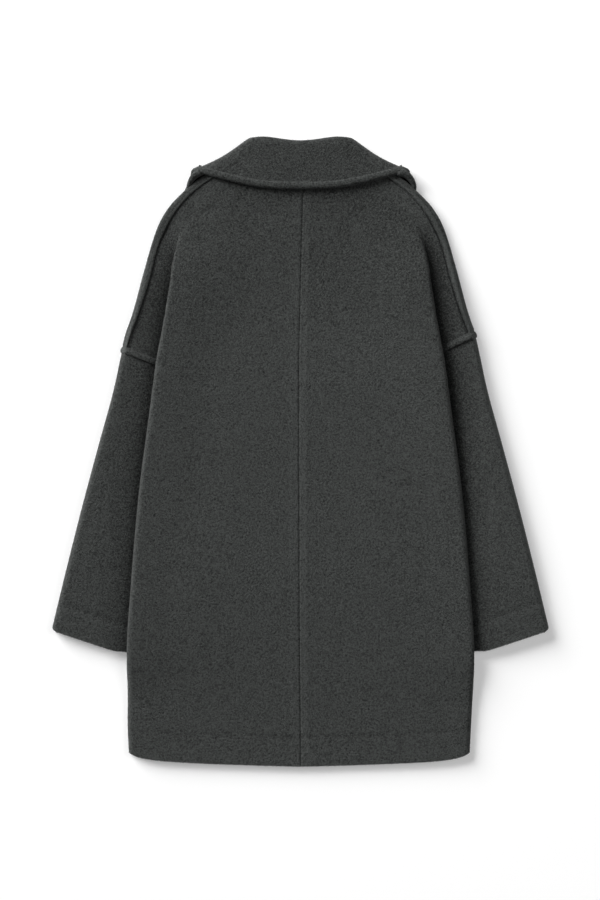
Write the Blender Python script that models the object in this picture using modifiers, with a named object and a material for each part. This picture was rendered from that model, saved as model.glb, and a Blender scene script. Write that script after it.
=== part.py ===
"""Oversized boiled wool coat, laid flat with its back up.

Sizes are in millimetres and become metres when a mesh is made.
+X is to the right seen from above, +Y is towards the collar and +Z is up from the surface it lies on.
"""
import bmesh
import bpy
import numpy as np

# Cloth
MM = 0.001
CLOTH = 2.6
HALF = CLOTH / 2
SEAM_GAP = 0.3
LAY_GAP = 0.4
STRIP_GAP = 0.8
FOLD = 6.0
STRIP_CLOTH = 1.2
STRIP_WIDTH = 7.5

# Main lengths
HEM_CENTRE = -456.6
HEM_SIDE_RISE = 18.0
BACK_NECK = 408.0
FRONT_OVERLAP = 40.0
FRONT_LIFT = CLOTH + SEAM_GAP
LIFT_FROM, LIFT_TO = 300.0, 345.0
SEAM_INSET = 11.0
SLEEVE_INSET = 15.5
UNDERARM_RISE = 2.0
CUFF_OUTER = -259.0
CUFF_INNER = -300.0

# Where each armhole meets the outer edge and the underarm: side, tip, underarm
ARMHOLES = {
    "left": (-1.0, 144.0, 118.0),
    "right": (1.0, 166.0, 137.0),
}

# Centre back seam: height, sideways place
CENTRE_SEAM = ((-455, 0.7), (-215, -1.5), (109, -2.2), (205, -0.7), (408, 4.6))

# Folded side of the body: height, half-width, crest height, under-layer height, depth of the fold
BODY_FOLD = (
    (-456, 245.0, 8.2, 1.3, 18),
    (-372, 248.5, 9.2, 1.3, 18),
    (-338, 250.0, 11.5, 1.5, 18),
    (-298, 251.5, 15.6, 10.3, 18),
    (-196, 245.0, 16.8, 10.3, 18),
    (-64, 233.5, 17.4, 10.3, 18),
    (60, 217.5, 18.6, 10.8, 18),
    (124, 209.0, 19.3, 13.3, 18),
    (190, 197.0, 18.8, 13.0, 13),
    (263, 184.0, 16.4, 11.7, 0),
    (300, 172.0, 13.4, 11.2, -12),
    (327, 158.0, 11.8, 10.6, -20),
    (345, 140.0, 11.0, 10.5, -20),
    (380, 100.0, 10.4, 10.3, -16),
    (408, 70.0, 10.2, 10.2, -12),
)

# Middle of the back: height, height above the surface
BACK_MIDDLE = ((-456, 7.1), (100, 7.3), (250, 8.0), (345, 10.2), (408, 10.2))

# Shoulder seam: height, half-width
SHOULDER_SEAM = (
    (140, 256.0), (166, 249.5), (188, 240.0), (220, 228.0), (252, 218.0),
    (298, 205.0), (330, 191.0), (354, 175.0), (379, 151.0), (408, 108.0),
)

# Outer edge of shoulder and sleeve: height, half-width
OUTER_EDGE = (
    (-262, 362.0), (-167, 339.0), (-80, 317.0), (6, 294.0), (93, 270.4), (137, 261.0),
    (166, 254.5), (209, 241.5), (267, 226.0), (325, 208.0), (354, 191.4), (369, 177.6),
    (390, 155.0), (408, 131.0),
)

# Front edge and neckline: height, distance from the middle
FRONT_NECK = ((-456, -FRONT_OVERLAP), (270, -FRONT_OVERLAP), (310, -5.0), (350, 30.0), (408, 62.0))

# Collar rows from the neck seam round the roll to the outer edge: centre, side turn x and y, height
COLLAR_ROWS = (
    (408.3, 66.0, 409.0, 10.2),
    (424.0, 64.0, 423.0, 9.2),
    (437.0, 66.0, 437.0, 7.6),
    (449.3, 72.0, 452.5, 7.6),
    (449.3, 72.0, 452.5, 14.6),
    (435.5, 88.0, 440.5, 14.6),
    (408.0, 115.0, 421.5, 14.6),
    (381.3, 156.0, 405.0, 14.6),
)
COLLAR_BUMP = 6.0
COLLAR_UNDER = 64.0
COLLAR_UNDER_WAY = (0.42, -0.907)
COLLAR_BAND = 9.5
COLLAR_BAND_CLOTH = 1.6
ROLL_ROW = 3.5

WOOL_COLOUR = (0.046, 0.051, 0.048, 1.0)


def smooth_through(rows, column):
    """Return a smooth function of the first column, with no overshoot between the rows."""
    at = np.array([row[0] for row in rows], float)
    value = np.array([row[column] for row in rows], float)
    step = np.diff(at)
    rise = np.diff(value) / step
    slope = np.zeros(len(at))
    slope[0], slope[-1] = rise[0], rise[-1]
    for i in range(1, len(at) - 1):
        if rise[i - 1] * rise[i] > 0:
            slope[i] = 2 * rise[i - 1] * rise[i] / (rise[i - 1] + rise[i])

    def read(y):
        y = min(max(y, at[0]), at[-1])
        i = min(int(np.searchsorted(at, y, side="right")) - 1, len(step) - 1)
        t = (y - at[i]) / step[i]
        a = value[i] * (1 + 2 * t) * (1 - t) ** 2 + slope[i] * step[i] * t * (1 - t) ** 2
        b = value[i + 1] * t * t * (3 - 2 * t) + slope[i + 1] * step[i] * t * t * (t - 1)
        return a + b

    return read


def ease(start, end, y):
    """Go smoothly from 0 at start to 1 at end."""
    t = min(max((y - start) / (end - start), 0.0), 1.0)
    return t * t * (3 - 2 * t)


def spline(points, u):
    """Read a cubic B-spline that starts and ends on its first and last points."""
    points = np.asarray(points, float)
    before = 2 * points[0] - points[1]
    after = 2 * points[-1] - points[-2]
    net = np.vstack([before, points, after])
    i = min(int(u), len(points) - 2)
    t = u - i
    weights = np.array([
        (1 - t) ** 3,
        3 * t ** 3 - 6 * t * t + 4,
        -3 * t ** 3 + 3 * t * t + 3 * t + 1,
        t ** 3,
    ]) / 6
    return weights @ net[i:i + 4]


centre_x = smooth_through(CENTRE_SEAM, 1)
crest_x = smooth_through(BODY_FOLD, 1)
crest_z = smooth_through(BODY_FOLD, 2)
under_z = smooth_through(BODY_FOLD, 3)
fold_depth = smooth_through(BODY_FOLD, 4)
middle_z = smooth_through(BACK_MIDDLE, 1)
seam_x = smooth_through(SHOULDER_SEAM, 1)
edge_x = smooth_through(OUTER_EDGE, 1)
neck_x = smooth_through(FRONT_NECK, 1)


def floor_z(y):
    """Height of the front's middle, which rises over the collar's front ends."""
    return HALF + FRONT_LIFT * ease(LIFT_FROM, LIFT_TO, y)


def below_underarm(side, y):
    """How far the side seam has risen and moved out, from 0 at the underarm to 1."""
    underarm = ARMHOLES[side][2]
    return ease(underarm, underarm - 26, y), ease(underarm - 20, underarm - 75, y)


def pinch(side, y):
    """How near a row above the underarm is to it, from 0 to 1 at the underarm."""
    underarm = ARMHOLES[side][2]
    return ease(underarm + 45, underarm, y)


def side_seam(side, y):
    """Place of the back panel's lower edge inside the side fold."""
    risen, moved = below_underarm(side, y)
    turn_z = 0.5 * (under_z(y) + floor_z(y) + FOLD)
    z = turn_z + (under_z(y) - turn_z) * risen
    inset = fold_depth(y) + (SEAM_INSET - fold_depth(y)) * moved
    return crest_x(y) - inset, z


def fold_slack(y):
    """How far the fold has opened into a slope: its reach and how much of the drop it spreads."""
    opened = min(max(-fold_depth(y), 0.0) / 10, 1.0)
    return 5.0 * opened, 0.5 * opened


def back_curve(side, y):
    """Control points across the back, from the centre seam round the side fold to the side seam."""
    sign = ARMHOLES[side][0]
    moved = below_underarm(side, y)[1]
    crest, top, under = crest_x(y), crest_z(y), under_z(y)
    low = middle_z(y)
    seam, seam_z = side_seam(side, y)
    depth = fold_depth(y)
    first = sign * centre_x(y) + SEAM_GAP / 2
    slack, slope_z = fold_slack(y)
    upright = 0.4 * ease(10, 0, depth)
    drop = max(slope_z, upright) * (seam_z - under)
    upper_turn = (crest - depth / 2, under), (crest - depth - slack, under + drop)
    lower_turn = (crest - 6.6, under), (crest - 9.0, under)
    turn = [np.array(a) + (np.array(b) - np.array(a)) * moved for a, b in zip(upper_turn, lower_turn)]
    lead = min(1.1 * max(top - under, 3.0), 8.0)
    return np.array([
        (first, low),
        (0.3 * crest, low),
        (max(crest - 85, 0.5 * crest), low + 0.25 * (top - low)),
        (max(crest - 36, 0.75 * crest), low + 0.85 * (top - low)),
        (crest - lead, top),
        (crest, top),
        (crest, under + upright * (top - under)),
        turn[0],
        turn[1],
        (seam, seam_z),
    ])


def shoulder_curve(side, y):
    """Control points from the inner turn out over the shoulder edge and back under it."""
    x, z = side_seam(side, y)
    low = floor_z(y)
    top = low + FOLD
    edge = edge_x(y) - HALF
    inner, inner_z = front_start(side, y)
    slack, slope_z = fold_slack(y)
    lead = 1.1 * FOLD
    return np.array([
        (x, z),
        (x + slack, top + slope_z * (z - top)),
        (x + 6.0 + slack, top),
        (0.5 * (x + 6.0 + slack + edge - lead), top),
        (edge - lead, top),
        (edge, top),
        (edge, low),
        (edge - lead, low),
        (0.5 * (inner + edge - lead), low),
        (inner + 0.3 * (edge - lead - inner), low),
        (inner, inner_z),
    ])


def front_start(side, y):
    """Place of the front panel's side edge, or of its column under the inner turn."""
    risen, moved = below_underarm(side, y)
    x, z = side_seam(side, y)
    flat = floor_z(y) + UNDERARM_RISE * pinch(side, y)
    below = z - (CLOTH + 0.5) * (1 - moved)
    return x - SEAM_GAP, flat + (below - flat) * risen


def front_curve(side, y):
    """Control points across the front, from its side edge in to its centre edge."""
    risen = below_underarm(side, y)[0]
    start, start_z = front_start(side, y)
    low = floor_z(y)
    end = neck_x(y)
    sleeve = crest_x(y) - SLEEVE_INSET
    low_way = [(start + (end - start) * share, low) for share in (0.06, 0.12, 0.18, 0.25)]
    high_way = [(start - 3.5, start_z), (sleeve - 7, start_z), (sleeve - 13, 0.5 * (start_z + low)), (sleeve - 28, low)]
    way = [np.array(a) + (np.array(b) - np.array(a)) * risen for a, b in zip(low_way, high_way)]
    rise = FRONT_LIFT * ease(372, 352, y) if side == "left" else 0.0
    lap = [(0.36, 0), (0.5, 0), (0.54, rise), (0.59, rise), (0.8, rise), (1.0, rise)]
    rest = [(start + (end - start) * share, low + lift) for share, lift in lap]
    return np.array([(start, start_z)] + way + rest)


def hem_rise(x, y):
    """Lift of the hem's corners, fading out up the coat."""
    t = abs(x) / 246.0
    corner = 0.5 * HEM_SIDE_RISE * (t ** 1.3 + min(t, 1.0) ** 10)
    return corner * ease(HEM_CENTRE + 150, HEM_CENTRE, y)


def heights(start, end, count):
    return list(np.linspace(start, end, count))


def lower_rows(side):
    """Row heights from the hem to the underarm, closer at the cuffs and the underarm."""
    underarm = ARMHOLES[side][2]
    low = heights(HEM_CENTRE, -350, 4) + heights(-328, -290, 4) + heights(-250, underarm - 90, 6)
    return low + heights(underarm - 66, underarm, 5)


def upper_rows(side):
    """Row heights from the underarm to the neck."""
    underarm = ARMHOLES[side][2]
    near = [underarm, underarm + 11.5, underarm + 28, underarm + 45]
    return near + [underarm + 72, 235, 268, 300, 330, 352, 372, 390, BACK_NECK]


def row_points(curve, side, y, stations):
    """Points along one row, as left or right of the coat."""
    sign = ARMHOLES[side][0]
    points = []
    for u in stations:
        x, z = spline(curve(side, y), u)
        points.append((sign * x, y + hem_rise(x, y), z))
    return points


def armhole_height(side, y, u):
    """Height of a shoulder point, so that the lowest row follows the slanted armhole."""
    tip, underarm = ARMHOLES[side][1], ARMHOLES[side][2]
    share = ease(underarm + 120, underarm, y)
    level = y
    for _ in range(4):
        inner = side_seam(side, level)[0]
        x = spline(shoulder_curve(side, level), u)[0]
        level = y + (tip - underarm) * share * max(x - inner, 0) / (edge_x(level) - HALF - inner)
    return level


def shoulder_station(side, y):
    """Where along the shoulder curve the shoulder seam lies."""
    target = seam_x(y)
    low, high = 2.0, 5.4
    for _ in range(24):
        middle = 0.5 * (low + high)
        if spline(shoulder_curve(side, y), middle)[0] < target:
            low = middle
        else:
            high = middle
    return low


def shoulder_point(side, y, u):
    """A point on the shoulder curve at the armhole's own slant."""
    sign = ARMHOLES[side][0]
    level = armhole_height(side, y, u)
    x, z = spline(shoulder_curve(side, level), u)
    return (sign * x, level, z)


def shoulder_row(side, y, shares, part):
    """Points of one shoulder row, for the back up to the seam or for the front after it."""
    seam = shoulder_station(side, armhole_height(side, y, 4.4))
    gap = 0.02
    points = []
    for share in shares:
        u = share * (seam - gap) if part == "back" else seam + gap + share * (10.0 - seam - gap)
        points.append(shoulder_point(side, y, u))
    return points


def back_grids(side):
    """Rows of the back panel: the main layer, and the shoulder beyond the fold."""
    stations = [0, 0.6, 1.2, 1.8, 2.4, 3, 3.6, 4.2, 4.7, 5.1, 5.5, 5.9, 6.4, 7, 7.6, 8.3, 9]
    main = [row_points(back_curve, side, y, stations) for y in lower_rows(side) + upper_rows(side)[1:]]
    shares = [0, 0.1, 0.22, 0.36, 0.55, 0.75, 0.9, 0.97, 1]
    beyond = [shoulder_row(side, y, shares, "back") for y in upper_rows(side)]
    return [main, beyond]


def front_grids(side):
    """Rows of the front panel: from the centre edge to the side, and the shoulder wrap."""
    stations = [0, 0.7, 1.4, 2, 2.6, 3.3, 4.2, 5.2, 6.4, 7, 7.5, 8, 9, 10]
    main = [row_points(front_curve, side, y, stations) for y in lower_rows(side) + upper_rows(side)[1:]]
    shares = [0, 0.04, 0.1, 0.17, 0.24, 0.31, 0.38, 0.46, 0.6, 0.78, 0.9, 1]
    wrap = [shoulder_row(side, y, shares, "front") for y in upper_rows(side)]
    return [main, wrap]


def sleeve_ring(side, share):
    """One ring of the flattened sleeve, from the armhole at 0 to the cuff at 1."""
    sign, tip, underarm = ARMHOLES[side]
    outer_y = tip + (CUFF_OUTER - tip) * share - 1.2 * (1 - share)
    inner_y = underarm + (CUFF_INNER - underarm) * share - 1.2 * (1 - share)
    outer_x = edge_x(outer_y) - HALF
    inner_x = crest_x(inner_y) - SLEEVE_INSET + HALF
    width = outer_x - inner_x
    radius = FOLD / 2
    ring = []
    for angle in np.radians([90, 60, 30, 0, -30, -60, -90]):
        ring.append((1 - radius / width * (1 - np.cos(angle)), HALF + radius + radius * np.sin(angle)))
    for place in (0.8, 0.5, 0.25):
        ring.append((place, HALF))
    for angle in np.radians([-90, -45, 0, 45, 90]):
        ring.append((radius / width * (1 - np.cos(angle)), HALF + radius + radius * np.sin(angle)))
    for place in (0.25, 0.5, 0.8):
        ring.append((place, HALF + FOLD))
    ring.append(ring[0])
    points = []
    for place, z in ring:
        x = inner_x + (outer_x - inner_x) * place
        y = inner_y + (outer_y - inner_y) * place
        points.append((sign * x, y, z))
    return points


def collar_net():
    """Control net of the collar, from its left end under the front to its right end."""
    way = np.array(COLLAR_UNDER_WAY)
    net = []
    for k, (centre, turn_x, turn_y, z) in enumerate(COLLAR_ROWS):
        on_roll = 1.0 if k in (3, 4) else 0.4 if k in (2, 5) else 0.0
        turn = np.array((turn_x, turn_y)) - HALF * way
        drop = 0.5 * (z - HALF)
        outward = turn + (1.6 * drop if k > 3 else 0) * np.array((0.25, 0.10))
        half = [
            (0.0, centre, z),
            (0.36 * turn_x, centre + COLLAR_BUMP * 0.5 * on_roll, z),
            (0.72 * turn_x, centre + 0.55 * (turn_y - centre) + COLLAR_BUMP * on_roll, z),
            (outward[0], outward[1], z),
            (outward[0], outward[1], HALF),
            tuple(turn + way * 16) + (HALF,),
            tuple(turn + way * COLLAR_UNDER) + (HALF,),
        ]
        mirrored = [(-x, y, z) for x, y, z in half[:0:-1]]
        net.append(mirrored + half)
    return net


def collar_point(net, u, v):
    """A point of the collar, u along its length and v from neck seam to outer edge."""
    return spline([spline(row, u) for row in net], v)


def collar_grids():
    """The fall with its turned ends, and the stand under the roll."""
    net = collar_net()
    along = [0, 0.6, 1.1, 1.5, 1.9, 2.3, 2.6, 2.9, 3.3, 4, 4.7, 5.4, 6]
    along = along + [12 - u for u in along[-2::-1]]
    fall = [[collar_point(net, u, v) for u in along] for v in (ROLL_ROW, 3.9, 4.3, 5, 5.7, 6.4, 7)]
    middle = [u for u in along if 3.9 < u < 8.1]
    stand = [[collar_point(net, u, v) for u in middle] for v in (0, 1, 2, 2.6, 3.1, ROLL_ROW)]
    return [fall, stand]


def moved_out(surface, u, v, distance):
    """A point off a surface, moved out along its normal."""
    step = 0.02
    point = np.array(surface(u, v))
    along = np.array(surface(u + step, v)) - np.array(surface(u - step, v))
    across = np.array(surface(u, v + step)) - np.array(surface(u, v - step))
    normal = np.cross(along, across)
    return point + normal / np.linalg.norm(normal) * distance


def collar_band_grid():
    """The raised band along the collar's outer edge, made from the fall's own points."""
    net = collar_net()
    lift = HALF + LAY_GAP + COLLAR_BAND_CLOTH / 2
    fall_length = COLLAR_ROWS[5][0] - COLLAR_ROWS[7][0]
    first = 7 - 2 * COLLAR_BAND / fall_length
    along = [2.3, 2.5, 2.7, 2.9, 3.2, 3.8, 4.5, 5.2, 6]
    along = along + [12 - u for u in along[-2::-1]]

    def surface(u, v):
        return collar_point(net, u, v)

    return [[moved_out(surface, u, v, -lift) for u in along] for v in (first, 6.72, 6.96)]


def lifted_point(side, y, u, lift):
    """A point off the shoulder curve, moved out from its outer face."""
    sign = ARMHOLES[side][0]
    level = armhole_height(side, y, u)
    curve = shoulder_curve(side, level)
    here = spline(curve, u)
    ahead = spline(curve, u + 0.01) - spline(curve, u - 0.01)
    ahead = ahead / np.linalg.norm(ahead)
    return (sign * (here[0] - ahead[1] * lift), level, here[1] + ahead[0] * lift)


def shoulder_strip_grid(side):
    """The raised strip just outside the shoulder seam, made from the wrap's own points."""
    lift = HALF + STRIP_GAP + STRIP_CLOTH / 2
    rows = []
    for y in upper_rows(side)[1:-1]:
        level = armhole_height(side, y, 4.4)
        curve = shoulder_curve(side, level)
        u = shoulder_station(side, level) + 0.03
        width = min(STRIP_WIDTH, edge_x(level) - seam_x(level) + 0.5)
        row = []
        for _ in range(5):
            row.append(lifted_point(side, y, u, lift))
            goal = width / 4
            while goal > 0:
                step = 0.005
                goal -= np.linalg.norm(spline(curve, u + step) - spline(curve, u))
                u += step
        rows.append(row)
    return rows


def armhole_band_grid(side):
    """The raised band just above the armhole seam, round to the outer edge."""
    underarm = ARMHOLES[side][2]
    lift = HALF + STRIP_GAP + STRIP_CLOTH / 2
    stations = (2.5, 2.9, 3.3, 3.8, 4.3, 4.7, 5.1, 5.5)
    return [[lifted_point(side, underarm + rise, u, lift) for u in stations] for rise in (1.5, 10.0)]


def wool_material(name):
    material = bpy.data.materials.new(name)
    material.use_nodes = True
    shader = material.node_tree.nodes["Principled BSDF"]
    shader.inputs["Base Color"].default_value = WOOL_COLOUR
    shader.inputs["Roughness"].default_value = 0.95
    shader.inputs["Metallic"].default_value = 0.0
    return material


def cloth_piece(name, grids, thickness, collection):
    """Join grids of points into one open surface and give it the cloth's thickness."""
    work = bmesh.new()
    for grid in grids:
        verts = [[work.verts.new(np.array(point) * MM) for point in row] for row in grid]
        for low, high in zip(verts, verts[1:]):
            for a, b, c, d in zip(low, low[1:], high[1:], high):
                work.faces.new((a, b, c, d))
    bmesh.ops.remove_doubles(work, verts=work.verts, dist=0.00002)
    bmesh.ops.recalc_face_normals(work, faces=work.faces)
    mesh = bpy.data.meshes.new(name)
    work.to_mesh(mesh)
    work.free()
    mesh.shade_smooth()
    piece = bpy.data.objects.new(name, mesh)
    collection.objects.link(piece)
    wall = piece.modifiers.new("Cloth thickness", "SOLIDIFY")
    wall.thickness = thickness * MM
    wall.offset = 0.0
    wall.use_even_offset = True
    mesh.materials.append(wool_material("wool_" + name))
    return piece


def build():
    for thing in list(bpy.data.objects):
        bpy.data.objects.remove(thing)
    coat = bpy.data.collections.new("wool_coat")
    bpy.context.scene.collection.children.link(coat)
    for side in ARMHOLES:
        cloth_piece("back_" + side, back_grids(side), CLOTH, coat)
        cloth_piece("front_" + side, front_grids(side), CLOTH, coat)
        rings = [sleeve_ring(side, share) for share in np.linspace(0, 1, 10)]
        cloth_piece("sleeve_" + side, [rings], CLOTH, coat)
        cloth_piece("shoulder_strip_" + side, [shoulder_strip_grid(side)], STRIP_CLOTH, coat)
        cloth_piece("armhole_band_" + side, [armhole_band_grid(side)], STRIP_CLOTH, coat)
    cloth_piece("collar", collar_grids(), CLOTH, coat)
    cloth_piece("collar_band", [collar_band_grid()], COLLAR_BAND_CLOTH, coat)


build()
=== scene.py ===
"""Looks of the wool coat: fine cloth shells on the solids' own form, nap, seams, light and camera.

Sizes are in millimetres until a mesh is made. The coat lies on z = 0 with its back up.
"""

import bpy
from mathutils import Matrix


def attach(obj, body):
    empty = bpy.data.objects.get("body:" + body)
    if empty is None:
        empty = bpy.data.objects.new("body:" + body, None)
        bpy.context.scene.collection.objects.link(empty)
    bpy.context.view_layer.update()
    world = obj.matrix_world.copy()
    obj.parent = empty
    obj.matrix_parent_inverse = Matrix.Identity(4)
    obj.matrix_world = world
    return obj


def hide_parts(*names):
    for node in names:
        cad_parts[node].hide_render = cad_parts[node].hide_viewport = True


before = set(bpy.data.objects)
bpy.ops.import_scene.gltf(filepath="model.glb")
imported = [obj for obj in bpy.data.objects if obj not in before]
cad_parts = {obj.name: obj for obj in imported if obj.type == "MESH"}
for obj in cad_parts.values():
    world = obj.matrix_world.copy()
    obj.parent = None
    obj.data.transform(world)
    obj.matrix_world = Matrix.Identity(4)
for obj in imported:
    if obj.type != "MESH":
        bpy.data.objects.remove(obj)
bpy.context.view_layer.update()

import bmesh
import bpy
import numpy as np
from mathutils import Vector

MM = 0.001

# Cloth, as in the solids
CLOTH = 2.6
HALF = CLOTH / 2
SEAM_GAP = 0.3
FOLD = 6.0

# Main lengths, as in the solids
HEM_CENTRE = -456.6
HEM_SIDE_RISE = 18.0
BACK_NECK = 408.0
FRONT_OVERLAP = 40.0
FRONT_LIFT = CLOTH + SEAM_GAP
LIFT_FROM, LIFT_TO = 300.0, 345.0
SEAM_INSET = 11.0
SLEEVE_INSET = 15.5
UNDERARM_RISE = 2.0
CUFF_OUTER = -259.0
CUFF_INNER = -300.0

# How the side seam leaves the underarm: run of its rise, its move out, pinch, run of the armhole's slant
SEAM_RISE_RUN = 26.0
SEAM_MOVE_FROM, SEAM_MOVE_TO = 20.0, 75.0
PINCH_RUN = 45.0
ARMHOLE_RUN = 120.0

# Opening of the upper fold into a slope: depth at which it is full, reach, share of the drop
SLACK_DEPTH = 10.0
SLACK_REACH = 5.0
SLACK_DROP = 0.5

# Half-width of the hem, how far up its corners' lift fades, and heights where the fronts' lap ends
HEM_HALF_WIDTH = 246.0
HEM_RISE_FADE = 150.0
LAP_END = (372, 352)

# How far below the underarm the front is closed against the back and stands up beside the sleeve
CLOSING_RUN = 60.0
TUCK_RUN = 90.0

# Where each armhole meets the outer edge and the underarm: side, tip, underarm
ARMHOLES = {
    "left": (-1.0, 144.0, 118.0),
    "right": (1.0, 166.0, 137.0),
}

# Centre back seam: height, sideways place
CENTRE_SEAM = ((-455, 0.7), (-215, -1.5), (109, -2.2), (205, -0.7), (408, 4.6))

# Folded side of the body: height, half-width, crest height, under-layer height, depth of the fold
BODY_FOLD = (
    (-456, 245.0, 8.2, 1.3, 18),
    (-372, 248.5, 9.2, 1.3, 18),
    (-338, 250.0, 11.5, 1.5, 18),
    (-298, 251.5, 15.6, 10.3, 18),
    (-196, 245.0, 16.8, 10.3, 18),
    (-64, 233.5, 17.4, 10.3, 18),
    (60, 217.5, 18.6, 10.8, 18),
    (124, 209.0, 19.3, 13.3, 18),
    (190, 197.0, 18.8, 13.0, 13),
    (263, 184.0, 16.4, 11.7, 0),
    (300, 172.0, 13.4, 11.2, -12),
    (327, 158.0, 11.8, 10.6, -20),
    (345, 140.0, 11.0, 10.5, -20),
    (380, 100.0, 10.4, 10.3, -16),
    (408, 70.0, 10.2, 10.2, -12),
)

# Middle of the back: height, height above the surface
BACK_MIDDLE = ((-456, 7.1), (100, 7.3), (250, 8.0), (345, 10.2), (408, 10.2))

# Shoulder seam: height, half-width
SHOULDER_SEAM = (
    (140, 252.5), (166, 245.5), (188, 237.0), (220, 226.0), (252, 216.5),
    (298, 205.0), (330, 191.0), (354, 175.0), (379, 151.0), (408, 108.0),
)

# Outer edge of shoulder and sleeve: height, half-width
OUTER_EDGE = (
    (-262, 362.0), (-167, 339.0), (-80, 317.0), (6, 294.0), (93, 270.4), (137, 261.0),
    (166, 254.5), (209, 241.5), (267, 226.0), (325, 208.0), (354, 191.4), (369, 177.6),
    (390, 155.0), (408, 131.0),
)

# Front edge and neckline: height, distance from the middle
FRONT_NECK = ((-456, -FRONT_OVERLAP), (270, -FRONT_OVERLAP), (310, -5.0), (350, 30.0), (408, 62.0))

# Collar rows from the neck seam round the roll to the outer edge: centre, side turn x and y, height
COLLAR_ROWS = (
    (408.3, 66.0, 409.0, 10.2),
    (424.0, 64.0, 423.0, 9.2),
    (437.0, 66.0, 437.0, 7.6),
    (449.3, 72.0, 452.5, 7.6),
    (449.3, 72.0, 452.5, 14.6),
    (435.5, 88.0, 440.5, 14.6),
    (408.0, 115.0, 421.5, 14.6),
    (381.3, 156.0, 405.0, 14.6),
)

# Collar: bump of its roll, its hidden ends' reach and direction, width of its edge, places on its net, rise
COLLAR_BUMP = 6.0
COLLAR_UNDER = 64.0
COLLAR_UNDER_WAY = (0.42, -0.907)
COLLAR_BAND = 9.5
ROLL_ROW = 3.5
LAST_ROW = 7.0
COLLAR_LENGTH = 12.0
COLLAR_RISE = 2.0

# Thick edge of the collar: how far its rows stand out, its swell, heights of its outer side
BAND_OVERHANG = (0, 0, 0, 0, 0, 0, 0, 0, 0, 0.4, 1.0, 1.8, 2.2, 1.8)
BAND_SWELL = 2.0
BAND_OUTER_SIDE = (HALF + 0.9, HALF - 0.2, -HALF)

# Ends of the collar's thick edge, which turn down on to the shoulders: place, height, width
COLLAR_TIPS = {
    "left": (
        (-141.4, 405.6, 15.5, 10.5), (-150.1, 403.6, 15.0, 10.0), (-156.4, 397.3, 13.2, 8.5),
        (-160.6, 390.4, 10.4, 7.0), (-163.0, 384.0, 7.0, 5.5), (-163.6, 380.0, 3.5, 4.5),
    ),
    "right": (
        (139.3, 404.1, 15.5, 11.5), (150.4, 403.8, 15.0, 11.0), (158.8, 397.4, 13.2, 9.5),
        (164.2, 388.6, 10.4, 7.0), (165.8, 382.7, 7.0, 5.5), (166.0, 379.0, 3.5, 4.5),
    ),
}

# Rounded collar ends: points along and across, drop of their sides, height of their feet
TIP_COLUMNS = 60
TIP_ROWS = 13
TIP_DROP = 3.4
TIP_FOOT = 1.5

# Raised seam along the shoulder: swell, greatest width, start above the underarm, end
STRIP_SWELL = 1.6
STRIP_WIDTH = 10.0
STRIP_START = 10.0
STRIP_END = 402.0

# Raised armhole seam, from the gap at the sleeve up: rise, painted shade and highlight, height off the
# cloth's middle, its ends
ARMHOLE_GAP = 0.5
SLEEVE_LIP = (0.0, 4.0, -3.0)
BAND_RISE = (-0.9, -0.8, -0.4, 0.6, 2.4, 4.6, 6.8, 8.4, 9.4, 10.0)
BAND_PAINTED_LIGHT = (-2.0, -2.0, -0.8, 0.4, 0.7, 0.7, 0.4, -0.2, -0.9, -1.4)
BAND_LIFT = (-0.6, 1.4, 2.7, 3.6, 4.1, 4.1, 3.6, 2.6, 1.7, 1.2)
BAND_ENDS = (1.4, 5.75)

# Puff of sleeves and shoulders: height at the arm and the cuff, runs, dip, outer edge, layer
PUFF = 9.0
PUFF_CUFF = 5.0
PUFF_RUN = 27.0
PUFF_RUN_SHOULDER = 26.0
PUFF_DIP = 1.4
PUFF_EDGE = 7.0
DIP_RUN = 12.0
UPPER_LAYER = (3.0, 6.5)
SLEEVE_UPPER_LAYER = (4.0, 6.5)

# Heights between which the puff grows above the cuff, fades at the shoulder, changes run and loses its dip
PUFF_GROWTH = (CUFF_INNER + 10, CUFF_INNER + 170)
PUFF_FADE = (335, 215)
PUFF_RUN_CHANGE = (140, 240)
DIP_FADE = (230, 160)

# How far the soft back departs from its solid: rise of middle and crest, tuck and spread of the side fold
BODY_RISE = 8.5
CREST_RISE = 3.5
CREST_REACH = (150, 10)
FOLD_TUCK = 4.0
FOLD_SPREAD = 5.0
TUCK_REACH = 14.0
HEM_SPREAD = {"left": 3.5, "right": 0.0}

# Heights over which those start, are full and end
TUCK_SPAN = (235, 290, 300, 375)
SPREAD_SPAN = (235, 305, 315, 385)
HEM_SPREAD_START = (-330, -410)
RISE_START = (HEM_CENTRE, HEM_CENTRE + 300)
BODY_RISE_END = (360, 40)
CREST_RISE_END = (330, 230)

# Hem and cuffs: stitched lines, rounded corners, close rows at the edge, the cuffs' curve beside the body
HEM_LINE = 43.0
CUFF_LINE = 44.0
CORNER = 5.0
CORNER_REACH = 7.0
HEM_ROWS = (0.3, 0.9, 2.0)
CUFF_SHARES = (0.989, 0.992, 0.995, 0.997, 0.999, 1.0)
CUFF_CURVE = {"left": 4.0, "right": 5.5}
CUFF_CURVE_RUN = 13.0
CUFF_CURVE_RISE = 40.0
SLEEVE_LENGTH = 435.0

# Nap: sizes of grain, clouds and fibres as noise scales, its darkest and lightest colour, range of tones
NAP_GRAIN = 400.0
NAP_CLOUD = 80.0
NAP_FUZZ = 900.0
NAP_DARK = (0.0100, 0.0109, 0.0104, 1)
NAP_LIGHT = (0.0625, 0.0668, 0.0645, 1)
NAP_RANGE = (0.63, 1.20)

# Shares of clouds, fibres and the per-point tone (pressed seams' lighter nap and painted light and shade) in
# the nap's tone, of fibres in its relief, and that relief
CLOUD_SHARE = 0.12
FUZZ_SHARE = 0.64
TONE_AND_PAINTED_LIGHT_SHARE = 0.12
RELIEF_FUZZ = 0.45
RELIEF_STRENGTH = 0.8
RELIEF_DEPTH = 0.0022

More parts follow.
